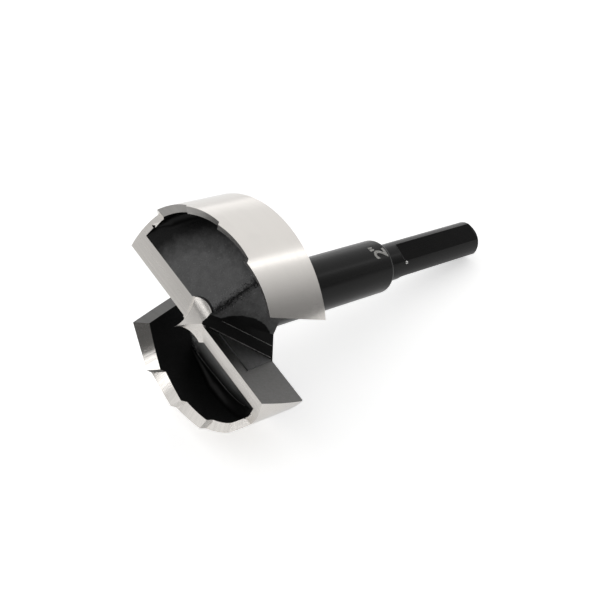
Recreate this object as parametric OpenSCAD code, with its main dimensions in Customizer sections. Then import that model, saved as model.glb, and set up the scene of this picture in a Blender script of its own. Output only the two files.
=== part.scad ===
// Forstner bit for wood: one piece, forged, turned, hardened and then ground.
// It is drawn along its own axis, with the cutting edges at height zero and the shank below them,
// and is laid down at the end the way it comes to rest: on the back edge of its rim and on its shank end.

/* [Head] */
// Cutting diameter across the rim
head_d = 50.8; // [44:0.1:64]
// Height of the rim, from its cutting edge to the back face
rim_h = 15.9; // [14:0.1:20]
// Thickness of the rim wall where it is thinnest
rim_wall = 1.8; // [1.4:0.1:2.4]
// How far the pocket's round wall is set off, which makes the rim thicker towards its end face
pocket_shift = 1.1; // [0.6:0.1:1.4]
// Angle behind the blade towards which the pocket's wall is set off
pocket_turn = 20; // [10:1:40]
// Chamfer on the back edge of the rim
back_chamfer = 0.4; // [0.2:0.1:0.8]
// Angle behind the blade at which each rim arc ends
heel_angle = 131; // [124:1:138]
// Turn of the rim's end face away from the blade's direction
heel_turn = 24; // [12:1:36]
// Lean of the rim's end face over the rim's height
heel_lean = 15; // [6:1:20]

/* [Blades] */
// Distance of each cutting edge ahead of the centre line
edge_lead = 1.8; // [1.4:0.1:2.4]
// Rake of the chip face, measured from the bit's axis
rake_angle = 24.4; // [18:0.1:28]
// Relief of the land behind the cutting edge
relief_angle = 15; // [10:0.5:18]
// Width of the ground land behind each cutting edge
land_w = 5; // [4:0.1:6]
// Slope of the pocket's floor behind the land
ramp_angle = 31.5; // [24:0.5:33]
// Depth of the fresh grind on the chip face
grind_depth = 0.25; // [0.1:0.05:0.4]
// Height of the ground strip along the cutting edge
grind_strip = 4; // [2.5:0.1:6]
// Where the full-height part of that grind begins, out from the axis
grind_start = 17.2; // [14:0.1:19]
// Turn of the grind's inner end away from the bit's axis
grind_turn = 15; // [5:1:25]

/* [Gullets] */
// Distance of the root facet from the axis, at the cutting edge's height
root_reach = 3.1; // [2.8:0.1:3.6]
// Turn of the root facet about the axis
root_turn = 28; // [22:1:34]
// Lean of the root facet away from the axis
root_lean = 19.1; // [16:0.1:24]
// Distance of the flank facet from the axis, at the cutting edge's height
flank_reach = 2.9; // [2.6:0.1:3.4]
// Turn of the flank facet about the axis
flank_turn = 21; // [14:1:26]
// Lean of the flank facet away from the axis
flank_lean = 20.8; // [17:0.1:24]
// Distance of the shoulder facet from the axis, at the cutting edge's height
shoulder_reach = 1.7; // [1.4:0.1:2.2]
// Turn of the shoulder facet about the axis
shoulder_turn = 3.7; // [0:0.1:10]
// Lean of the shoulder facet away from the axis
shoulder_lean = 26.6; // [23:0.1:29]

/* [Wave rim] */
// Angle of the first spur behind the blade
spur_angle = 31; // [27:0.5:35]
// Turn of the spur's front face away from the blade's direction
spur_turn = 13.6; // [5:0.1:20]
// Slope of the spur's front face
spur_slope = 40; // [32:0.5:46]
// Angle over which the bevel ahead of the spur is ground
lead_span = 16.5; // [10:0.5:18]
// Distance of that bevel's upper edge inside the rim's outer face
lead_inset = 0.9; // [0.5:0.1:1.4]
// Depth of that bevel's upper edge below the cutting edges
lead_sink = 2.1; // [1.6:0.1:2.6]
// Number of ground waves on each rim arc
wave_count = 4; // [3:1:4]
// Angle from one wave to the next
wave_pitch = 24.6; // [22:0.1:25]
// Slope of the bevel inside the rim's edge
bevel_angle = 33; // [25:0.5:40]
// Radius of the wheel that grinds the waves
wave_wheel_r = 25; // [18:0.5:40]
// How far each wave's lowest line lies behind its middle
wave_shift = 1.6; // [0.8:0.1:2.2]
// Lean of the step between two waves
step_lean = 45; // [30:1:55]

/* [Centre point] */
// Height of the point above the cutting edges
point_h = 5.3; // [4:0.1:7]
// Half width of the point at the cutting edges' height
point_half_w = 2.3; // [2:0.1:2.7]
// Radius of the hollow-ground faces of the point
point_wheel_r = 8; // [7:0.5:20]
// Turn of the point's faces away from the blade's direction
point_turn = -9; // [-20:1:0]
// Radius of the round pad under the point
pad_r = 5.2; // [4.6:0.1:6]

/* [Shank] */
// Diameter of the collar behind the head
collar_d = 13.5; // [11:0.1:18]
// Length from the cutting edges to the collar's end
collar_end = 57.8; // [40:0.1:75]
// Rounding of the collar's rear edge
collar_round = 1.4; // [0.5:0.1:2]
// Fillet between the collar and the back of the head
collar_fillet = 1.5; // [0.5:0.1:2]
// Diameter of the shank
shank_d = 9.525; // [8:0.005:10.5]
// Length from the cutting edges to the shank's end
shank_end = 93.4; // [84:0.1:120]
// Chamfer on the shank's end
shank_chamfer = 0.7; // [0.3:0.1:1.5]
// Number of flats for the chuck's jaws
flat_count = 3; // [2:1:3]
// Distance of each flat from the shank's axis
flat_reach = 4.05; // [3.7:0.01:4.5]
// Length of round shank between the collar and the flats
flat_start = 4.7; // [3:0.1:10]
// Radius of the wheel that leaves the run-out of each flat
flat_wheel_r = 1.5; // [1.5:0.5:8]
// Direction of the first flat, from the blade's direction
flat_turn = -103; // [-180:1:180]

/* [At rest] */
// Direction, from the blade's direction, that lies on the ground
rest_turn = 105.5; // [60:0.5:170]

/* [Hidden] */
$fn = 96;
head_r = head_d / 2;
wall_r = head_r - rim_wall - pocket_shift;
collar_r = collar_d / 2;
shank_r = shank_d / 2;
far = 2 * head_d;
land_drop = land_w * tan(relief_angle);
// Half of one wave along the rim, and how much the rim bows out over it
wave_half = head_r * sin(wave_pitch / 2);
wave_bow = head_r * (1 - cos(wave_pitch / 2));
// Depth of the wheel's lowest line, chosen so that each wave's leading tip is at height zero
wave_sink = pow(wave_half + wave_shift, 2) / (2 * wave_wheel_r) - wave_bow * sin(bevel_angle);
// Chord of the point's hollow face, from its tip to its foot, and the wheel's place beside it
point_chord = norm([point_half_w, point_h]);
point_reach = sqrt(pow(point_wheel_r, 2) - pow(point_chord / 2, 2));
point_wheel = [point_half_w / 2 + point_reach * point_h / point_chord,
               point_h / 2 + point_reach * point_half_w / point_chord];
// How far the shank reaches towards the ground, which is less where one of its flats faces down
flat_half = acos(min(1, flat_reach / shank_r));
flat_step = 360 / flat_count;
rest_off = abs((rest_turn - flat_turn + 720 + flat_step / 2) % flat_step - flat_step / 2);
shank_rest = rest_off < flat_half ? shank_r * cos(flat_half - rest_off) : shank_r;
// The bit leans on its rim's back edge and on its shank's end
rest_tilt = atan((head_r - shank_rest) / (shank_end - shank_chamfer - rim_h + back_chamfer));
rest_lift = head_r * cos(rest_tilt) + (rim_h - back_chamfer) * sin(rest_tilt);
rest_front = head_r * sin(rest_tilt);
rest_back = shank_end * cos(rest_tilt) + (shank_r - shank_chamfer) * sin(rest_tilt);

// All space on the +Y side, on the +X side and above the plane through the origin
module ahead() translate([-far, 0, -far]) cube(2 * far);
module outside() translate([0, -far, -far]) cube(2 * far);
module above() translate([-far, -far, 0]) cube(2 * far);

module both_sides() {
    children();
    rotate([0, 0, 180]) children();
}

// Space in front of the chip face, sunk into the blade by the given depth
module chip_side(sink) translate([0, edge_lead, 0]) rotate([-rake_angle, 0, 0]) translate([0, -sink, 0]) ahead();

// Space outside one of the gullet's facets
module facet_side(turn, reach, lean)
    rotate([0, 0, turn]) translate([reach, 0, 0]) rotate([0, -lean, 0]) outside();

// Space between the blade and the end face of the other rim arc
module heel_side()
    rotate([0, 0, 180 - heel_angle]) translate([head_r, 0, 0]) rotate([0, 0, heel_turn - 180 + heel_angle])
        rotate([-heel_lean, 0, 0]) translate([0, -2 * far, 0]) ahead();

// The round wall of the pocket behind the land
module pocket_round()
    rotate([0, 0, -pocket_turn]) translate([pocket_shift, 0, -2 * rim_h]) cylinder(r = wall_r, h = 3 * rim_h);

// The gullet that carries chips from one cutting edge out through the head
module gullet() intersection() {
    chip_side(0);
    facet_side(root_turn, root_reach, root_lean);
    facet_side(flank_turn, flank_reach, flank_lean);
    facet_side(shoulder_turn, shoulder_reach, shoulder_lean);
    union() {
        heel_side();
        rotate([0, 0, 180]) pocket_round();
    }
}

// The fresh grind on the chip face: a strip along the edge, and the full height further out
module chip_grind() intersection() {
    facet_side(root_turn, root_reach, root_lean);
    translate([0, edge_lead - grind_depth / cos(rake_angle), 0]) rotate([-rake_angle, 0, 0]) union() {
        translate([root_reach, 0, -grind_strip]) cube([far, 2 * grind_depth, 2 * grind_strip]);
        translate([grind_start, 0, 0]) rotate([0, grind_turn, 0]) translate([0, 0, -far])
            cube([far, 2 * grind_depth, 2 * far]);
    }
}

// Space in front of the spur and above its sloping front face
module spur_side()
    rotate([0, 0, -spur_angle]) translate([head_r, 0, 0]) rotate([0, 0, spur_turn + spur_angle])
        rotate([-spur_slope, 0, 0]) above();

// The land's relief, run out over the rim to the foot of the spur
module land_relief() intersection() {
    translate([0, edge_lead, 0]) rotate([relief_angle, 0, 0]) above();
    spur_side();
    union() {
        translate([point_half_w, -far, -far]) cube([far, far + edge_lead + 0.5, 2 * far]);
        translate([-point_half_w, -far, -far]) cube([far, far, 2 * far]);
    }
}

// The bevel ground on the rim's wall just ahead of the spur, which leaves what the pocket leaves
module lead_bevel() difference() {
    intersection() {
        rotate([0, 0, -spur_turn]) translate([head_r - lead_inset, 0, -lead_sink]) rotate([0, -bevel_angle, 0]) above();
        spur_side();
        rotate([0, 0, lead_span - spur_angle]) translate([0, -2 * far, 0]) ahead();
        translate([wall_r / 2, -far, -far]) cube(2 * far);
    }
    difference() {
        pocket_round();
        pocket();
    }
}

// The pocket behind the land, with the sloping floor that carries the rim
module pocket() difference() {
    intersection() {
        pocket_round();
        translate([0, edge_lead - land_w, -land_drop]) rotate([ramp_angle, 0, 0])
            translate([0, 0.5 - far, 0]) above();
        translate([-far, edge_lead - land_w + 0.5 - 2 * far, -far]) cube(2 * far);
    }
    translate([0, 0, -rim_h]) cylinder(r = pad_r, h = 2 * rim_h);
}

// One wave of the rim: the wheel's path, stopped by the leaning step at its trailing end
module wave(index) {
    lead = -spur_angle - index * wave_pitch;
    trail = index < wave_count - 1 ? lead - wave_pitch : -heel_angle - wave_pitch;
    intersection() {
        rotate([0, 0, lead - wave_pitch / 2]) translate([head_r, 0, 0]) rotate([0, 90 - bevel_angle, 0])
            translate([wave_sink - wave_wheel_r, -wave_shift, -3.5 * rim_wall])
                cylinder(r = wave_wheel_r, h = 6 * rim_wall);
        rotate([0, 0, trail]) rotate([step_lean, 0, 0]) ahead();
    }
}

// The slender point that centres the bit, with four hollow-ground faces that run out onto its pad
module centre_point() difference() {
    translate([0, 0, -rim_h / 4]) cylinder(r = pad_r, h = point_h + rim_h / 4);
    for (side = [0:3])
        rotate([0, 0, point_turn + 90 * side]) translate([point_wheel[0], far / 2, point_wheel[1]])
            rotate([90, 0, 0]) cylinder(r = point_wheel_r, h = far);
}

module head_blank() rotate_extrude() polygon([
    [0, 0], [head_r, 0], [head_r, back_chamfer - rim_h], [head_r - back_chamfer, -rim_h], [0, -rim_h]]);

// Collar, neck and shank, turned in one go
module shank_turned() rotate_extrude() {
    translate([0, collar_round - collar_end]) square([collar_r, collar_end - rim_h / 2 - collar_round]);
    translate([0, -collar_end]) square([collar_r - collar_round, collar_end - rim_h / 2]);
    translate([collar_r - collar_round, collar_round - collar_end]) circle(r = collar_round);
    difference() {
        translate([0, -rim_h - collar_fillet]) square([collar_r + collar_fillet, 2 * collar_fillet]);
        translate([collar_r + collar_fillet, -rim_h - collar_fillet]) circle(r = collar_fillet);
    }
    polygon([[0, -rim_h], [shank_r, -rim_h], [shank_r, shank_chamfer - shank_end],
             [shank_r - shank_chamfer, -shank_end], [0, -shank_end]]);
}

// One flat on the shank, with the round run-out of the wheel that cut it
module shank_flat() translate([flat_reach, 0, -collar_end - flat_start]) {
    translate([0, -shank_d, -shank_end]) cube([shank_d, 2 * shank_d, shank_end - flat_wheel_r]);
    translate([flat_wheel_r, shank_d, -flat_wheel_r]) rotate([90, 0, 0])
        cylinder(r = flat_wheel_r, h = 2 * shank_d);
}

// The bit along its own axis
module bit() difference() {
    union() {
        difference() {
            head_blank();
            both_sides() {
                pocket();
                land_relief();
                lead_bevel();
                for (index = [0:wave_count - 1]) wave(index);
            }
        }
        centre_point();
        shank_turned();
    }
    both_sides() {
        gullet();
        chip_grind();
    }
    for (turn = [0:flat_count - 1]) rotate([0, 0, flat_turn + turn * 360 / flat_count]) shank_flat();
}

module forstner_bit() color("dimgray")
    translate([(rest_back - rest_front) / 2, 0, rest_lift]) rotate([0, 90 - rest_tilt, 0])
        rotate([0, 0, -rest_turn]) bit();

forstner_bit();
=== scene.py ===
import math

import bmesh
import bpy
from mathutils import Matrix, Vector


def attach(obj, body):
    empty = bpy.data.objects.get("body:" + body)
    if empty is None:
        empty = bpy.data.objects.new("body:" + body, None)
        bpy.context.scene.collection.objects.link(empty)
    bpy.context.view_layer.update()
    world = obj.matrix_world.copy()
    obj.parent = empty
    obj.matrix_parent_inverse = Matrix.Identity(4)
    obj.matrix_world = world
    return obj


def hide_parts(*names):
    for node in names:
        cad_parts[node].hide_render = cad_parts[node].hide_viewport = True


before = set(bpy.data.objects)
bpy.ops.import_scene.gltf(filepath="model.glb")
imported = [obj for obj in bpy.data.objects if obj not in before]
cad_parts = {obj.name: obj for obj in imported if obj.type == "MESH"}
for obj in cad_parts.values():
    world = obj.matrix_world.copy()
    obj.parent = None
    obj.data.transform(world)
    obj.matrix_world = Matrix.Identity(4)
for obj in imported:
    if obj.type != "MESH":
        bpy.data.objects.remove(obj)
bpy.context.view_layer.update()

MM = 0.001

# Sizes are in millimetres in the bit's own frame: the cutting edges lie at height zero, the point
# is up and the first blade runs along +X. Half a turn about the axis brings the bit onto itself.

# How the bit lies on the floor
REST_TILT = math.radians(14.966664)
REST_TURN = math.radians(105.5)
REST_LIFT = 28.541320
REST_SHIFT = 42.360481

# Head, rim and its wave-ground edge
HEAD_R = 25.4
RIM_H = 15.9
RIM_SKIN = 0.15
RIM_CHAMFER = 0.45
WAVE_INNER_R = 21.8
WAVE_DEPTH = 5.0
WAVE_TILT = 0.25
SPUR_ANGLE = math.radians(-31)
FIRST_STEP_TURN = math.radians(75.2)
STEP_TILT = 0.75
HEEL_TURN = math.radians(24)
HEEL_LEAN = math.radians(15)

# Blades, point and pockets
EDGE_LEAD = 1.8
RAKE = math.radians(24.4)
RELIEF = math.radians(15)
LAND_W = 5.0
RAMP = math.radians(31.5)
GRIND_DEPTH = 0.25
PAD_R = 5.2
POINT_FOOT = -3.2
POCKET_WALL = 1.8
POCKET_SHIFT = 1.1
POCKET_TURN = math.radians(-20)
POCKET_R = HEAD_R - POCKET_WALL - POCKET_SHIFT

# Chip gullets: turn about the axis and lean of each facet, in degrees
GULLET_FACETS = {"root": (28, 19.1), "flank": (21, 20.8), "shoulder": (3.7, 26.6)}
SHOULDER_REACH = 1.7
# The cutter's path on the shoulder facet ends in a round about this place (across, up)
CUTTER_END = (2.77, -8.34)
CUTTER_END_R = 7.4

# Collar and shank
COLLAR_R = 6.75
SHANK_R = 4.7625
FLATS_FROM = -60.8
FLATS_TO = -92.5
FLAT_TURNS = [math.radians(a) for a in (-103, 17, 137)]

# Soft fillet between the floor and the round wall of each pocket, and a pale ridge beside it that is a
# painted highlight
FILLET_R = 2.0
FILLET_TOP = -2.7
FILLET_FROM, FILLET_TO = math.radians(-15), math.radians(-111)
FILLET_FADE = math.radians(30)
FILLET_THIN = 0.2
FILLET_LEAST = 0.15
FILLET_STEPS = 12
RIDGE_FROM, RIDGE_TO = math.radians(-28), math.radians(-106)
RIDGE_R = 0.13

# Pale lines on the first gullet's root facet, painted as highlights, and a painted glint at a flat's corner
LOWER_EDGE = ((3.55, 1.16, -1.68), (12.2, -4.93, -15.48))
LOWER_EDGE_R = 0.11
UPPER_EDGE = ((3.85, 2.6, -4.25), (10.85, -2.32, -15.55))
UPPER_EDGE_R = 0.08
GLINT_AT = (-3.6, -3.03, -63.93)
GLINT_R = 0.42

# Size mark on the collar, with its top towards the head: turn in degrees, and height
MARK_HEIGHT = 4.1
MARK_LIFT = 0.012
MARK_BOLD = 0.022
MARK_STRIPS = 16
TWO_AT = (-100, -54.3)
INCH_AT = (-84, -52.6)
INCH_HEIGHT = 0.34 * MARK_HEIGHT

# How close a face lies to a plane that it belongs to: as a length, an angle and a direction
NEAR = 0.02
SAME_TURN = 0.02
SAME_WAY = 0.002

# Colours
STEEL = (0.79, 0.76, 0.724)
SHADED_CHIP_STEEL = (0.185, 0.182, 0.177)
SHADED_HEEL_STEEL = (0.16, 0.158, 0.155)
# Painted shade on the first arc's wave bevels
SHADED_WAVE_STEEL = (0.34, 0.33, 0.318)
EDGE_HIGHLIGHT_STEEL = (0.3, 0.297, 0.29)
GLINT_STEEL = (0.9, 0.89, 0.87)
PALE_SCALE = (0.5, 0.49, 0.48)
SCALE_LOW, SCALE_HIGH = (0.014, 0.014, 0.0142), (0.036, 0.036, 0.0364)
BLACK_LOW, BLACK_HIGH = (0.0016, 0.0015, 0.0014), (0.0034, 0.0032, 0.003)
BLACK_LINES = (0.005, 0.005, 0.0048)
MARK_LOW, MARK_HIGH = (0.22, 0.217, 0.205), (0.5, 0.493, 0.472)
PAPER = (0.9, 0.9, 0.895)

# Studio, in metres and watts
FLOOR_HALF = 3.0
PAPER_GLOW = 0.57
PAPER_IN_METAL = 0.62
DIM_SIDE = math.radians(57)
AIM = (0.03, 0, 0.03)

# The camera that was fitted to the photograph
CAMERA_AT = (0.1377593, 0.1460387, 0.1877283)
CAMERA_RIGHT = Vector((-0.756256, 0.654274, -0.001552))
CAMERA_UP = Vector((-0.434785, -0.500779, 0.748453))
CAMERA_BACK = Vector((0.488916, 0.566697, 0.663186))
CAMERA_LENS = 65.08


# Directions and places

def leaning(turn, lean):
    """The direction of a plane that is turned about the axis and leans back, both in degrees."""
    turn, lean = math.radians(turn), math.radians(lean)
    return Vector((math.cos(lean) * math.cos(turn), math.cos(lean) * math.sin(turn), math.sin(lean)))


facet_ways = {name: leaning(*angles) for name, angles in GULLET_FACETS.items()}
floor_way = Vector((0, -math.sin(RAMP), math.cos(RAMP)))
heel_way = Vector((-math.sin(HEEL_TURN) * math.cos(HEEL_LEAN), math.cos(HEEL_TURN) * math.cos(HEEL_LEAN),
                   -math.sin(HEEL_LEAN)))
half_turn = Matrix.Rotation(math.pi, 3, "Z")
lie_down = Matrix.Rotation(math.pi / 2 - REST_TILT, 3, "Y") @ Matrix.Rotation(-REST_TURN, 3, "Z")
stand_up = lie_down.transposed()
lie_at = Vector((REST_SHIFT, 0, REST_LIFT)) * MM


def to_row(point_mm):
    """A point of the bit's own frame, in millimetres, as a point of the row frame in metres."""
    return lie_down @ (Vector(point_mm) * MM) + lie_at


def to_bit(point):
    """A point of the row frame, in metres, as a point of the bit's own frame in millimetres."""
    return stand_up @ (point - lie_at) / MM


# Node building

def add(tree, kind, **values):
    """A new node with the given settings."""
    node = tree.nodes.new(kind)
    for key, value in values.items():
        setattr(node, key, value)
    return node


def link(tree, a, b):
    tree.links.new(a, b)


def number(tree, operation, a, b=None, c=None):
    """One sum on plain numbers or sockets."""
    node = add(tree, "ShaderNodeMath", operation=operation)
    for index, value in enumerate((a, b, c)):
        if isinstance(value, (int, float)):
            node.inputs[index].default_value = value
        elif value is not None:
            link(tree, value, node.inputs[index])
    return node.outputs[0]


def spread(tree, value, low, high, out_low=0.0, out_high=1.0, soft=False):
    """A value's range from low to high, laid out onto another range and held at its ends."""
    node = add(tree, "ShaderNodeMapRange", clamp=True)
    node.interpolation_type = "SMOOTHSTEP" if soft else "LINEAR"
    link(tree, value, node.inputs["Value"])
    for name, bound in (("From Min", low), ("From Max", high), ("To Min", out_low), ("To Max", out_high)):
        node.inputs[name].default_value = bound
    return node.outputs["Result"]


def mix_colour(tree, share, first, second):
    """The first colour, with a share of the second."""
    node = add(tree, "ShaderNodeMix", data_type="RGBA")
    link(tree, share, node.inputs[0])
    for socket, value in ((node.inputs[6], first), (node.inputs[7], second)):
        if isinstance(value, tuple):
            socket.default_value = (*value, 1)
        else:
            link(tree, value, socket)
    return node.outputs[2]


def grey(tone):
    return (tone, tone, tone)


def times(parts, share):
    """Each part of a colour or of a set of sizes, times a share."""
    return tuple(share * part for part in parts)


def noise(tree, vector, scale, detail=3.0, rough=0.55):
    node = add(tree, "ShaderNodeTexNoise")
    link(tree, vector, node.inputs["Vector"])
    node.inputs["Scale"].default_value = scale
    node.inputs["Detail"].default_value = detail
    node.inputs["Roughness"].default_value = rough
    return node.outputs["Fac"]


def stretched(tree, vector, sizes):
    """Coordinates in grains of the given sizes, so that noise on them has those sizes."""
    node = add(tree, "ShaderNodeMapping", vector_type="TEXTURE")
    link(tree, vector, node.inputs["Vector"])
    node.inputs["Scale"].default_value = sizes
    return node.outputs["Vector"]


def axes(tree, vector):
    """The three parts of a vector."""
    split = add(tree, "ShaderNodeSeparateXYZ")
    link(tree, vector, split.inputs[0])
    return [split.outputs[axis] for axis in "XYZ"]


def reach(tree, x, y):
    """How far a place is from the middle."""
    return number(tree, "SQRT", number(tree, "MULTIPLY_ADD", x, x, number(tree, "MULTIPLY", y, y)))


def start_material(name):
    """A new material, its shader, and the bit's own coordinates in millimetres."""
    material = bpy.data.materials.new(name)
    material.use_nodes = True
    tree = material.node_tree
    shader = tree.nodes["Principled BSDF"]
    place = add(tree, "ShaderNodeTexCoord")
    own = add(tree, "ShaderNodeMapping", vector_type="TEXTURE")
    own.inputs["Location"].default_value = lie_at
    own.inputs["Rotation"].default_value = lie_down.to_euler("XYZ")
    own.inputs["Scale"].default_value = (MM, MM, MM)
    link(tree, place.outputs["Object"], own.inputs["Vector"])
    return material, tree, shader, own.outputs["Vector"]


def dress(tree, shader, base, rough, height, strength, depth_mm):
    """Colour, roughness and relief, put on a shader."""
    bump = add(tree, "ShaderNodeBump")
    bump.inputs["Strength"].default_value = strength
    bump.inputs["Distance"].default_value = depth_mm * MM
    link(tree, height, bump.inputs["Height"])
    link(tree, base, shader.inputs["Base Color"])
    link(tree, rough, shader.inputs["Roughness"])
    link(tree, bump.outputs["Normal"], shader.inputs["Normal"])


# Finishes of the bit

def round_the_rim(tree, own):
    """Coordinates with the way round the rim as X, so that grinding lines run across the rim."""
    x, y, z = axes(tree, own)
    joined = add(tree, "ShaderNodeCombineXYZ")
    link(tree, number(tree, "MULTIPLY", number(tree, "ARCTAN2", y, x), HEAD_R), joined.inputs["X"])
    link(tree, z, joined.inputs["Z"])
    return joined.outputs[0]


def ground_steel(name, colour, lines, rough, groove=0.0016, specks=0.0, shade=0.9, around=False):
    """Bright steel with grinding lines: lines gives the grain's sizes in millimetres."""
    material, tree, shader, own = start_material(name)
    laid = round_the_rim(tree, own) if around else own
    fine = noise(tree, stretched(tree, laid, lines), 1.0, 4.0, 0.65)
    broad = noise(tree, stretched(tree, laid, times(lines, 3.1)), 1.0, 2.0)
    tone = number(tree, "ADD", number(tree, "MULTIPLY", fine, 0.5), number(tree, "MULTIPLY", broad, 0.5))
    stain = spread(tree, noise(tree, own, 0.16, 3.0), 0.52, 0.75, 0.0, 0.3)
    base = mix_colour(tree, spread(tree, tone, 0.35, 0.62), times(colour, shade), colour)
    base = mix_colour(tree, stain, base, times(colour, 0.86))
    if specks:
        grit = spread(tree, noise(tree, own, 3.4, 2.0), 0.66, 0.72, 0.0, specks)
        base = mix_colour(tree, grit, base, grey(0.05))
    shader.inputs["Metallic"].default_value = 1.0
    dress(tree, shader, base, spread(tree, tone, 0.3, 0.7, rough[1], rough[0]), tone, 0.25, groove)
    return material


def cutter_path(tree, own):
    """One where the gullet's cutter has passed and nought on the forged skin beyond its round end."""
    x, y, z = axes(tree, own)
    side = number(tree, "MULTIPLY", number(tree, "SIGN", x), -1.0)
    across = number(tree, "SUBTRACT", number(tree, "MULTIPLY", y, side), CUTTER_END[0])
    up = number(tree, "SUBTRACT", z, CUTTER_END[1])
    ragged = number(tree, "MULTIPLY", number(tree, "SUBTRACT", noise(tree, own, 1.4, 2.0), 0.5), 0.5)
    end = number(tree, "ADD", reach(tree, across, up), ragged)
    return spread(tree, end, CUTTER_END_R - 0.12, CUTTER_END_R + 0.12, 1.0, 0.0)


def wall_gap(tree, own):
    """How far a place in a pocket is from the pocket's round wall, in millimetres."""
    x, y, _ = axes(tree, own)
    shift = number(tree, "MULTIPLY", number(tree, "SIGN", y), -POCKET_SHIFT)
    x = number(tree, "SUBTRACT", x, number(tree, "MULTIPLY", shift, math.cos(POCKET_TURN)))
    y = number(tree, "SUBTRACT", y, number(tree, "MULTIPLY", shift, math.sin(POCKET_TURN)))
    return number(tree, "SUBTRACT", POCKET_R, reach(tree, x, y))


def crease_gap(tree, own):
    """How far a place on a pocket's floor or on the shoulder facet beside it is from their crease."""
    x, y, z = axes(tree, own)
    way = facet_ways["shoulder"]
    depth = SHOULDER_REACH * math.cos(math.radians(GULLET_FACETS["shoulder"][1]))
    flat = number(tree, "MULTIPLY_ADD", x, way.x, number(tree, "MULTIPLY", y, way.y))
    lift = number(tree, "MULTIPLY_ADD", z, way.z, -depth)
    to_facet = number(tree, "MULTIPLY_ADD", number(tree, "SIGN", y), flat, lift)
    behind = number(tree, "SUBTRACT", number(tree, "ABSOLUTE", y), LAND_W - EDGE_LEAD)
    below = number(tree, "MULTIPLY", number(tree, "ADD", z, LAND_W * math.tan(RELIEF)), floor_way.z)
    to_floor = number(tree, "MULTIPLY_ADD", behind, -floor_way.y, below)
    return number(tree, "MAXIMUM", number(tree, "ABSOLUTE", to_facet), number(tree, "ABSOLUTE", to_floor))


def unshaded_share(tree, own, pits):
    """One on open skin and nought where shade is painted, by the pocket's wall and in the crease."""
    patchy = number(tree, "ADD", wall_gap(tree, own), number(tree, "MULTIPLY", pits, 3.0))
    ragged = number(tree, "MULTIPLY_ADD", noise(tree, own, 1.1, 4.0, 0.65), -1.5, crease_gap(tree, own))
    return number(tree, "MULTIPLY", spread(tree, patchy, 5.5, 11.5), spread(tree, ragged, -0.5, 0.25))


def black_forged(name, shine=1.0, pale=1.0, cut=False):
    """Scale-black forged steel, pebbled and speckled, with painted shade by the pockets' walls and in the
    crease and, where cut, a cutter's black path.
    """
    material, tree, shader, own = start_material(name)
    skin = noise(tree, own, 2.6, 5.0, 0.6)
    pits = noise(tree, own, 0.55, 3.0)
    specks = spread(tree, noise(tree, own, 2.2, 1.0), 0.69, 0.74, 0.0, 0.6)
    unshaded = unshaded_share(tree, own, pits)
    base = mix_colour(tree, spread(tree, pits, 0.35, 0.7), times(SCALE_LOW, pale), times(SCALE_HIGH, pale))
    base = mix_colour(tree, specks, base, grey(0.14))
    # Painted shade: the skin goes near black and less glossy by the pockets' walls and in the crease
    base = mix_colour(tree, unshaded, grey(0.008), base)
    gloss = number(tree, "MULTIPLY_ADD", unshaded, shine - 0.12, 0.12)
    height = skin
    if cut:
        path = cutter_path(tree, own)
        forged = number(tree, "SUBTRACT", 1.0, path)
        lines = noise(tree, stretched(tree, own, (8, 0.14, 0.14)), 1.0, 3.0, 0.6)
        scored = number(tree, "MULTIPLY", lines, number(tree, "MULTIPLY", path, 0.25))
        base = mix_colour(tree, path, base, grey(0.0035))
        gloss = number(tree, "MULTIPLY_ADD", forged, 0.5, 0.1)
        height = number(tree, "MULTIPLY_ADD", skin, forged, scored)
    link(tree, gloss, shader.inputs["Specular IOR Level"])
    dress(tree, shader, base, spread(tree, skin, 0.3, 0.7, 0.5, 0.36), height, 0.7, 0.13)
    return material


def black_turned(name, lines, rough=(0.26, 0.4), shine=0.18):
    """Blackened steel, satin, with faint tool lines."""
    material, tree, shader, own = start_material(name)
    fine = noise(tree, stretched(tree, own, lines), 1.0, 4.0, 0.6)
    worn = noise(tree, own, 0.3, 4.0)
    base = mix_colour(tree, spread(tree, worn, 0.4, 0.75), BLACK_LOW, BLACK_HIGH)
    base = mix_colour(tree, spread(tree, fine, 0.58, 0.75, 0.0, 0.5), base, BLACK_LINES)
    shader.inputs["Specular IOR Level"].default_value = shine
    dress(tree, shader, base, spread(tree, fine, 0.3, 0.7, rough[1], rough[0]), fine, 0.3, 0.012)
    return material


def grain_and_highlight_steel(name, colour, rough=0.4):
    """Dull, pale steel, for loose grains and for the lines, ridge and spot that are painted highlights."""
    material, tree, shader, own = start_material(name)
    patch = noise(tree, own, 1.7, 3.0)
    base = mix_colour(tree, spread(tree, patch, 0.38, 0.62), times(colour, 0.45), colour)
    shader.inputs["Metallic"].default_value = 0.7
    patchy = spread(tree, patch, 0.3, 0.7, rough + 0.08, rough - 0.08)
    dress(tree, shader, base, patchy, noise(tree, own, 6.0, 2.0), 0.3, 0.02)
    return material


def mark_grey(name):
    """The pale, slightly patchy grey of an etched mark."""
    material, tree, shader, own = start_material(name)
    patch = noise(tree, own, 3.2, 3.0)
    base = mix_colour(tree, spread(tree, patch, 0.36, 0.6), MARK_LOW, MARK_HIGH)
    dress(tree, shader, base, spread(tree, patch, 0.3, 0.7, 0.7, 0.55), patch, 0.2, 0.01)
    return material


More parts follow.
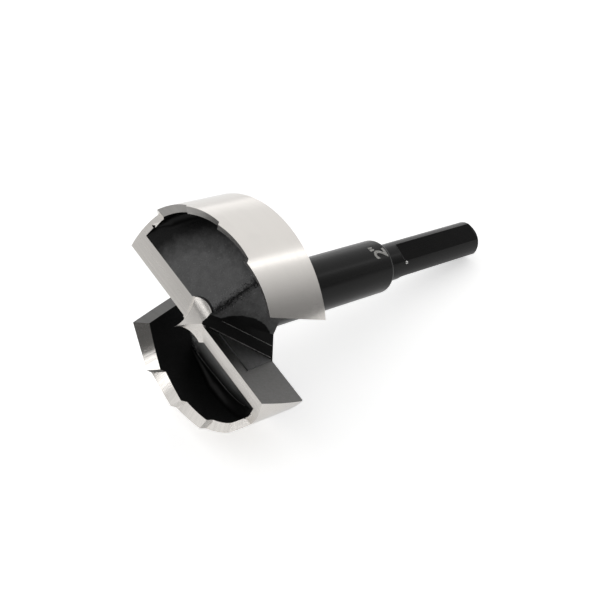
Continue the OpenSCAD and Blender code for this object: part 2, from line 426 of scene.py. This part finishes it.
finishes = {
    "black_forged": black_forged("forged_black_skin", shine=1.15, pale=1.4),
    "black_cut": black_turned("cut_black_gullets", (8, 0.14, 0.14), shine=0.1),
    # Painted light: the forged skin on the shoulders is made paler than the same skin in the pockets
    "black_shoulder": black_forged("cut_black_shoulders", pale=3.2, cut=True),
    "black_turned": black_turned("turned_black_shank", (9, 9, 0.1), rough=(0.18, 0.28)),
    "black_milled": black_turned("milled_black_flats", (0.6, 0.6, 7), rough=(0.24, 0.36), shine=0.05),
    "rim": ground_steel("ground_rim_band", STEEL, (40, 40, 0.06), rough=(0.16, 0.22), groove=0.0004,
                        shade=0.96),
    "land": ground_steel("ground_blade_lands", STEEL, (14, 0.16, 0.16), rough=(0.24, 0.38)),
    # Painted shade: the chip faces' ground strip is darker steel than the lands; the specks are real
    "chip": ground_steel("ground_chip_faces", SHADED_CHIP_STEEL, (0.18, 0.18, 9), rough=(0.3, 0.46), specks=0.5),
    # Painted shade: the rim ends, and the steps by the spurs, are darker steel than the rim
    "heel": ground_steel("ground_rim_ends", SHADED_HEEL_STEEL, (12, 12, 0.12), rough=(0.3, 0.45)),
    "wave": ground_steel("ground_wave_bevels", STEEL, (0.35, 1, 9), rough=(0.14, 0.24), groove=0.09,
                         shade=0.84, around=True),
    # Painted shade: the first arc's bevels are darker steel, and rougher
    "wave_shaded": ground_steel("shaded_wave_bevels", SHADED_WAVE_STEEL, (0.35, 1, 9), rough=(0.24, 0.36), groove=0.03,
                              around=True),
    "point": ground_steel("ground_centre_point", STEEL, (6, 0.12, 0.12), rough=(0.2, 0.3), groove=0.0006),
}


# Which finish a face gets, from its middle c (mm), its direction n and its reach r from the axis

def same_turn(a, b, round_of=2 * math.pi, gap=SAME_TURN):
    return abs(math.remainder(a - b, round_of)) < gap


def plane_name(n):
    """The name of the gullet facet or pocket floor with this direction, on either half, or None."""
    for half in (1, -1):
        for name, way in dict(facet_ways, floor=floor_way).items():
            if half * (n.x * way.x + n.y * way.y) + n.z * way.z > 0.9995:
                return name
    return None


def shank_finish(c, n, r):
    """Behind the head: milled on the flats and their shoulders, and turned elsewhere."""
    on_flat = any(same_turn(math.atan2(n.y, n.x), turn) for turn in FLAT_TURNS)
    cut_in = FLATS_TO < c.z < FLATS_FROM and r < SHANK_R - NEAR
    return "black_milled" if cut_in and (on_flat or abs(n.z) > NEAR) else "black_turned"


def rim_finish(c, n, r):
    """On the ground band round the head, its back chamfer included."""
    on_chamfer = r > HEAD_R - RIM_CHAMFER and c.z < -RIM_H + RIM_CHAMFER - NEAR
    on_band = r > HEAD_R - RIM_SKIN and (n.x * c.x + n.y * c.y) / r > 0.95
    return "rim" if on_chamfer or on_band else None


def blade_finish(c, n):
    """On the lands and the raked chip faces, which are ground along the edge and forged below."""
    for half in (1, -1):
        y, ny = half * c.y, half * n.y
        if abs(n.z - math.cos(RELIEF)) < SAME_WAY and abs(ny + math.sin(RELIEF)) < SAME_WAY:
            return "land"
        if abs(ny - math.cos(RAKE)) < SAME_WAY and abs(n.z + math.sin(RAKE)) < SAME_WAY:
            depth = (y - EDGE_LEAD) * math.cos(RAKE) - c.z * math.sin(RAKE)
            return "chip" if depth < -0.5 * GRIND_DEPTH else "black_forged"
    return None


def gullet_finish(n):
    """On the gullets' facets."""
    facet = plane_name(n)
    if facet in GULLET_FACETS:
        return "black_shoulder" if facet == "shoulder" else "black_cut"
    return None


def point_finish(c, n, r):
    """On the centre point and the top of its pad."""
    on_pad_side = r > PAD_R - 0.1 and abs(n.z) < 0.05
    on_point = r < PAD_R + 0.05 and c.z > POINT_FOOT and n.z > -0.05
    return "point" if on_point and not on_pad_side else None


def heel_finish(n):
    """On the slanted end faces of the rim, whose darker steel is painted shade."""
    for half in (1, -1):
        if abs(half * (n.x * heel_way.x + n.y * heel_way.y) + n.z * heel_way.z) > 0.999:
            return "heel"
    return None


def wave_finish(c, n, r):
    """On the wave-ground edge: the step by each spur gets the rim ends' dark steel as painted shade, and
    the first arc's bevels are rougher and painted darker as painted shade.
    """
    if r < WAVE_INNER_R or c.z < -WAVE_DEPTH or n.z < WAVE_TILT:
        return None
    step_turn = math.atan2(n.y, n.x) - math.pi / 2
    if n.z < STEP_TILT and same_turn(step_turn, FIRST_STEP_TURN, math.pi, 0.03):
        return "heel"
    return "wave_shaded" if math.atan2(c.y, c.x) < SPUR_ANGLE else "wave"


def face_finish(c, n):
    r = math.hypot(c.x, c.y)
    if c.z < -RIM_H + NEAR or r < 1e-9:
        return shank_finish(c, n, r)
    return (rim_finish(c, n, r) or blade_finish(c, n) or gullet_finish(n) or point_finish(c, n, r)
            or heel_finish(n) or wave_finish(c, n, r) or "black_forged")


# Pieces

def new_piece(name, mesh):
    piece = bpy.data.objects.new(name, mesh)
    bpy.context.scene.collection.objects.link(piece)
    return piece


def mesh_piece(name, points, faces, edges=()):
    mesh = bpy.data.meshes.new(name)
    mesh.from_pydata([tuple(p) for p in points], list(edges), faces)
    mesh.validate()
    return new_piece(name, mesh)


def join_bit(piece):
    """A finished piece of looks rides on the bit."""
    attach(piece, "root")
    return piece


def smooth_below(work, degrees):
    """Smooth shading, with the edges sharper than the given angle kept sharp."""
    for face in work.faces:
        face.smooth = True
    for edge in work.edges:
        edge.smooth = len(edge.link_faces) == 2 and edge.calc_face_angle(0) < math.radians(degrees)


def pocket_creases(work):
    """The edges between a pocket's floor and the shoulder facet: ends, and each face's way and middle."""
    creases = []
    for edge in work.edges:
        faces = {plane_name(stand_up @ face.normal): face for face in edge.link_faces}
        if set(faces) == {"floor", "shoulder"}:
            ends = [vert.co.copy() for vert in edge.verts]
            pair = (faces["floor"], faces["shoulder"])
            creases.append((ends, [(face.normal.copy(), face.calc_center_median()) for face in pair]))
    return creases


def dressed_bit():
    """The bit's own faces, joined up, with a finish for each. Gives the pockets' creases."""
    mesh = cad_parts["forstner_bit"].data.copy()
    mesh.name = "forstner_bit_faces"
    mesh.materials.clear()
    for material in finishes.values():
        mesh.materials.append(material)
    finish_index = {name: index for index, name in enumerate(finishes)}
    work = bmesh.new()
    work.from_mesh(mesh)
    bmesh.ops.remove_doubles(work, verts=work.verts, dist=2e-7)
    for face in work.faces:
        middle = to_bit(face.calc_center_median())
        face.material_index = finish_index[face_finish(middle, stand_up @ face.normal)]
    smooth_below(work, 17)
    creases = pocket_creases(work)
    work.to_mesh(mesh)
    work.free()
    if "custom_normal" in mesh.attributes:
        mesh.attributes.remove(mesh.attributes["custom_normal"])
    piece = new_piece("bit_dressed", mesh)
    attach(piece, "root")
    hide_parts("forstner_bit")
    return creases


def floor_height(y):
    """The height of a pocket's sloping floor."""
    return -LAND_W * math.tan(RELIEF) + (y - EDGE_LEAD + LAND_W) * math.tan(RAMP)


def fillet_section(turn):
    """One cross-section: the arc from the wall down to the floor, and a corner sunk into the steel."""
    out = Vector((math.cos(turn), math.sin(turn), 0))
    foot = Vector((math.cos(POCKET_TURN), math.sin(POCKET_TURN), 0)) * POCKET_SHIFT + out * POCKET_R
    low = floor_height(foot.y)
    rise = -math.tan(RAMP) * out.y
    slant = math.hypot(1, rise)
    fade = min(1.0, abs(turn - FILLET_TO) / FILLET_FADE)
    full = min(FILLET_R, (FILLET_TOP - low) / (rise + slant))
    radius = max(FILLET_LEAST, full * (FILLET_THIN + (1 - FILLET_THIN) * fade))
    middle = low + radius * (rise + slant)
    last = math.atan2(-1, rise) + 2 * math.pi
    points = []
    for step in range(FILLET_STEPS + 1):
        at = math.pi + (last - math.pi) * step / FILLET_STEPS
        inward = radius * (1 + math.cos(at))
        points.append(foot - out * inward + Vector((0, 0, middle + radius * math.sin(at))))
    points.append(foot + out * 0.08 + Vector((0, 0, low - 0.12)))
    return points


def pocket_fillets(material, sections=72):
    """The fillet of both pockets, closed at its ends."""
    ring = FILLET_STEPS + 2
    points, faces = [], []
    for side in range(2):
        first = len(points)
        last = first + sections * ring
        for index in range(sections + 1):
            turn = FILLET_FROM + (FILLET_TO - FILLET_FROM) * index / sections
            points += [to_row(half_turn @ point if side else point) for point in fillet_section(turn)]
        for start in range(first, last, ring):
            for step in range(ring):
                a, b = start + step, start + (step + 1) % ring
                faces.append((a, b, b + ring, a + ring))
        faces.append(tuple(reversed(range(first, first + ring))))
        faces.append(tuple(range(last, last + ring)))
    piece = mesh_piece("pocket_fillets", points, faces)
    piece.data.materials.append(material)
    work = bmesh.new()
    work.from_mesh(piece.data)
    bmesh.ops.recalc_face_normals(work, faces=work.faces)
    smooth_below(work, 30)
    work.to_mesh(piece.data)
    work.free()
    return join_bit(piece)


def ridge_path(steps=40):
    """The line where the fillet of the second pocket runs out onto its floor."""
    turns = [RIDGE_FROM + (RIDGE_TO - RIDGE_FROM) * step / steps for step in range(steps + 1)]
    return [half_turn @ fillet_section(turn)[FILLET_STEPS] for turn in turns]


# Geometry Nodes: a tree for thin lines painted as highlights and one for loose grains

def node_tree(name, sizes):
    """A new tree with a geometry in and out and named inputs, and those inputs' identifiers."""
    tree = bpy.data.node_groups.new(name, "GeometryNodeTree")
    tree.interface.new_socket("Geometry", in_out="INPUT", socket_type="NodeSocketGeometry")
    keys = {}
    for label, kind in sizes.items():
        keys[label] = tree.interface.new_socket(label, in_out="INPUT", socket_type=kind).identifier
    tree.interface.new_socket("Geometry", in_out="OUTPUT", socket_type="NodeSocketGeometry")
    return tree, keys, add(tree, "NodeGroupInput")


def end_tree(tree, shape, material):
    """The end of a tree: the shape made real, with its material."""
    whole = add(tree, "GeometryNodeRealizeInstances")
    finish = add(tree, "GeometryNodeSetMaterial")
    finish.inputs["Material"].default_value = material
    link(tree, shape, whole.inputs[0])
    link(tree, whole.outputs[0], finish.inputs["Geometry"])
    link(tree, finish.outputs["Geometry"], add(tree, "NodeGroupOutput").inputs["Geometry"])


def grown(piece, name, tree, keys, values):
    """The mesh that a tree makes from a piece, as a plain piece; the piece itself goes."""
    modifier = piece.modifiers.new(name, "NODES")
    modifier.node_group = tree
    for label, value in values.items():
        modifier[keys[label]] = value
    ready = piece.evaluated_get(bpy.context.evaluated_depsgraph_get())
    mesh = bpy.data.meshes.new_from_object(ready)
    mesh.name = name
    piece.modifiers.remove(modifier)
    bpy.data.objects.remove(piece)
    return new_piece(name, mesh)


def highlight_lines(name, paths, radius_mm, material):
    """A hair-thin round along each path of points (mm), coloured pale as a painted highlight."""
    tree, keys, given = node_tree(name + "_tree", {"Line radius": "NodeSocketFloat"})
    path = add(tree, "GeometryNodeMeshToCurve")
    ring = add(tree, "GeometryNodeCurvePrimitiveCircle")
    ring.inputs["Resolution"].default_value = 6
    tube = add(tree, "GeometryNodeCurveToMesh")
    tube.inputs["Fill Caps"].default_value = True
    link(tree, given.outputs["Geometry"], path.inputs["Mesh"])
    link(tree, given.outputs["Line radius"], ring.inputs["Radius"])
    link(tree, path.outputs["Curve"], tube.inputs["Curve"])
    link(tree, ring.outputs["Curve"], tube.inputs["Profile Curve"])
    end_tree(tree, tube.outputs["Mesh"], material)
    points, edges = [], []
    for path_mm in paths:
        edges += [(len(points) + step, len(points) + step + 1) for step in range(len(path_mm) - 1)]
        points += [to_row(point) for point in path_mm]
    piece = mesh_piece(name + "_path", points, [], edges)
    return join_bit(grown(piece, name, tree, keys, {"Line radius": radius_mm * MM}))


def crease_bands(creases, widths_mm):
    """A narrow band on each of the two faces beside a crease, for grains to sit on."""
    points, faces = [], []
    for (start, end), sides in creases:
        along = (end - start).normalized()
        for (way, middle), width in zip(sides, widths_mm):
            across = way.cross(along).normalized()
            if across.dot(middle - start) < 0:
                across = -across
            first = len(points)
            points += [start, end, end + across * width * MM, start + across * width * MM]
            quad = [first, first + 1, first + 2, first + 3]
            if along.cross(across).dot(way) < 0:
                quad.reverse()
            faces.append(quad)
    return points, faces


def loose_grains(name, creases, widths_mm, grain_mm, per_mm2, seed, material):
    """Grains of scale, pressed into the skin at random along the crease."""
    sizes = {"Grain size": "NodeSocketFloat", "Density": "NodeSocketFloat", "Seed": "NodeSocketInt"}
    tree, keys, given = node_tree(name + "_tree", sizes)
    scatter = add(tree, "GeometryNodeDistributePointsOnFaces")
    grain = add(tree, "GeometryNodeMeshIcoSphere")
    grain.inputs["Subdivisions"].default_value = 1
    size = add(tree, "FunctionNodeRandomValue", data_type="FLOAT_VECTOR")
    size.inputs[0].default_value = (0.5, 0.5, 0.3)
    size.inputs[1].default_value = (1.4, 1.1, 0.7)
    turn = add(tree, "FunctionNodeRandomValue", data_type="FLOAT_VECTOR")
    turn.inputs[1].default_value = (0.6, 0.6, 6.28)
    place = add(tree, "GeometryNodeInstanceOnPoints")
    link(tree, given.outputs["Geometry"], scatter.inputs["Mesh"])
    link(tree, given.outputs["Density"], scatter.inputs["Density"])
    for drawn in (scatter, size, turn):
        link(tree, given.outputs["Seed"], drawn.inputs["Seed"])
    link(tree, given.outputs["Grain size"], grain.inputs["Radius"])
    link(tree, scatter.outputs["Points"], place.inputs["Points"])
    link(tree, grain.outputs["Mesh"], place.inputs["Instance"])
    link(tree, turn.outputs[0], place.inputs["Rotation"])
    link(tree, size.outputs[0], place.inputs["Scale"])
    end_tree(tree, place.outputs["Instances"], material)
    piece = mesh_piece(name + "_bands", *crease_bands(creases, widths_mm))
    values = {"Grain size": grain_mm * MM, "Density": per_mm2 / MM ** 2, "Seed": seed}
    return join_bit(grown(piece, name, tree, keys, values))


# The size mark on the collar and the painted glint on the shank

def sign_mesh(name, sign):
    """One sign as a flat mesh."""
    curve = bpy.data.curves.new(name, "FONT")
    curve.body = sign
    curve.align_x = "CENTER"
    curve.offset = MARK_BOLD
    flat = new_piece(name + "_flat", curve)
    mesh = bpy.data.meshes.new_from_object(flat.evaluated_get(bpy.context.evaluated_depsgraph_get()))
    mesh.name = name
    bpy.data.objects.remove(flat)
    return mesh


def collar_mark(name, sign, height, at, material):
    """One sign, laid round the collar with its middle at the given turn (degrees) and height."""
    mesh = sign_mesh(name, sign)
    work = bmesh.new()
    work.from_mesh(mesh)
    xs, ys = [v.co.x for v in work.verts], [v.co.y for v in work.verts]
    left, right, low, high = min(xs), max(xs), min(ys), max(ys)
    for cut in range(1, MARK_STRIPS):
        everything = list(work.verts) + list(work.edges) + list(work.faces)
        line = (left + (right - left) * cut / MARK_STRIPS, 0, 0)
        bmesh.ops.bisect_plane(work, geom=everything, plane_co=line, plane_no=(1, 0, 0))
    centre = Vector(((right + left) / 2, (high + low) / 2, 0))
    r = COLLAR_R + MARK_LIFT
    for vert in work.verts:
        offset = (vert.co - centre) * height / (high - low)
        turn = math.radians(at[0]) + offset.x / COLLAR_R
        vert.co = to_row((r * math.cos(turn), r * math.sin(turn), at[1] + offset.y))
    work.normal_update()
    work.to_mesh(mesh)
    work.free()
    mesh.materials.append(material)
    return join_bit(new_piece(name, mesh))


def painted_glint(material):
    """A small bright ball at the corner of one flat's shoulder: a painted glint."""
    mesh = bpy.data.meshes.new("flat_corner_glint")
    work = bmesh.new()
    bmesh.ops.create_icosphere(work, subdivisions=3, radius=GLINT_R * MM)
    smooth_below(work, 180)
    bmesh.ops.translate(work, verts=work.verts, vec=to_row(GLINT_AT))
    work.to_mesh(mesh)
    work.free()
    mesh.materials.append(material)
    return join_bit(new_piece("flat_corner_glint", mesh))


def on_both_halves(line):
    return [[Vector(point) for point in line], [half_turn @ Vector(point) for point in line]]


creases = dressed_bit()
pocket_fillets(black_turned("filleted_black_skin", (2.0, 2.0, 2.0), rough=(0.28, 0.36), shine=0.13))
# Pale steel lines along the gullets' facet edges: painted highlights
edge_highlight = grain_and_highlight_steel("edge_highlight_steel", EDGE_HIGHLIGHT_STEEL)
highlight_lines("lower_gullet_edges", on_both_halves(LOWER_EDGE), LOWER_EDGE_R, edge_highlight)
highlight_lines("upper_gullet_edges", on_both_halves(UPPER_EDGE), UPPER_EDGE_R, edge_highlight)
# A grey round where the second pocket's fillet meets its floor: a painted highlight
highlight_lines("fillet_ridge_highlight", [ridge_path()], RIDGE_R, grain_and_highlight_steel("ridge_highlight_grey", grey(0.12), 0.34))
loose_grains("dark_scale_grains", creases, widths_mm=(1.5, 1.3), grain_mm=0.17, per_mm2=7.0, seed=5,
             material=finishes["black_forged"])
loose_grains("pale_scale_grains", creases, widths_mm=(3.0, 2.4), grain_mm=0.1, per_mm2=1.5, seed=11,
             material=grain_and_highlight_steel("pale_scale", PALE_SCALE, 0.5))
painted_glint(grain_and_highlight_steel("glint_bright_steel", GLINT_STEEL, 0.22))
etched = mark_grey("etched_size_mark")
collar_mark("size_mark_two", "2", MARK_HEIGHT, TWO_AT, etched)
collar_mark("size_mark_inch", '"', INCH_HEIGHT, INCH_AT, etched)


# Floor, light and camera

def seen_straight(tree):
    """One for what the camera sees, also through glass, and the light path that tells it."""
    path = add(tree, "ShaderNodeLightPath")
    return number(tree, "MAXIMUM", path.outputs["Is Camera Ray"], path.outputs["Is Transmission Ray"]), path


def white_paper():
    """White paper that keeps the bit's shadow and also shows in the bit's bright steel."""
    material = bpy.data.materials.new("white_paper")
    material.use_nodes = True
    tree = material.node_tree
    shader = tree.nodes["Principled BSDF"]
    shader.inputs["Base Color"].default_value = (*PAPER, 1)
    shader.inputs["Roughness"].default_value = 0.9
    shader.inputs["Specular IOR Level"].default_value = 0.1
    shader.inputs["Emission Color"].default_value = (1, 1, 1, 1)
    seen, path = seen_straight(tree)
    in_metal = number(tree, "MULTIPLY", path.outputs["Is Glossy Ray"], PAPER_IN_METAL)
    glow = number(tree, "MULTIPLY", number(tree, "MAXIMUM", seen, in_metal), PAPER_GLOW)
    link(tree, glow, shader.inputs["Emission Strength"])
    return material


def studio_floor():
    half = FLOOR_HALF
    corners = [(-half, -half, 0), (half, -half, 0), (half, half, 0), (-half, half, 0)]
    floor = mesh_piece("studio_floor", corners, [(0, 1, 2, 3)])
    floor.data.materials.append(white_paper())


def studio_world():
    """A white studio that is dim overhead and on the side where the camera stands."""
    world = bpy.data.worlds.new("studio_white")
    bpy.context.scene.world = world
    world.use_nodes = True
    tree = world.node_tree
    background = tree.nodes["Background"]
    background.inputs["Color"].default_value = (1, 1, 1, 1)
    way = add(tree, "ShaderNodeTexCoord").outputs["Generated"]
    up = axes(tree, way)[2]
    dot = add(tree, "ShaderNodeVectorMath", operation="DOT_PRODUCT")
    link(tree, way, dot.inputs[0])
    dot.inputs[1].default_value = (math.cos(DIM_SIDE), math.sin(DIM_SIDE), 0.0)
    facing = dot.outputs["Value"]
    wall = spread(tree, facing, -0.34, 0.4, 0.92, 0.1, soft=True)
    ceiling = spread(tree, up, 0.6, 0.86, 1.0, 0.45)
    horizon = spread(tree, number(tree, "ABSOLUTE", up), 0.0, 0.28, 0.4, 0.0)
    glow = number(tree, "MULTIPLY", horizon, spread(tree, facing, -0.9, -0.6, 1.0, 0.0))
    room = number(tree, "MULTIPLY_ADD", wall, ceiling, glow)
    link(tree, number(tree, "MAXIMUM", seen_straight(tree)[0], room), background.inputs["Strength"])


def softbox(name, at, aim, size, power):
    lamp = bpy.data.lights.new(name, "AREA")
    lamp.shape = "RECTANGLE"
    lamp.size, lamp.size_y = size
    lamp.energy = power
    lamp_object = bpy.data.objects.new(name, lamp)
    bpy.context.scene.collection.objects.link(lamp_object)
    lamp_object.location = at
    lamp_object.rotation_euler = (Vector(aim) - Vector(at)).to_track_quat("-Z", "Y").to_euler()


def photo_camera():
    data = bpy.data.cameras.new("photo_camera")
    data.sensor_width = 36
    data.lens = CAMERA_LENS
    data.clip_start, data.clip_end = 0.01, 20
    camera = bpy.data.objects.new("photo_camera", data)
    bpy.context.scene.collection.objects.link(camera)
    turn = Matrix((CAMERA_RIGHT, CAMERA_UP, CAMERA_BACK)).transposed()
    camera.matrix_world = Matrix.Translation(CAMERA_AT) @ turn.to_4x4()
    bpy.context.scene.camera = camera


studio_floor()
studio_world()
softbox("key", at=(0.49, -0.205, 0.357), aim=AIM, size=(0.2, 0.15), power=0.145)
softbox("strip", at=(-0.48, 0.13, 0.34), aim=AIM, size=(0.06, 0.36), power=0.06)
softbox("overhead", at=(0, 0, 0.7), aim=(0, 0, 0), size=(1.2, 1.2), power=2.1)
photo_camera()
bpy.context.scene.view_settings.view_transform = "Standard"
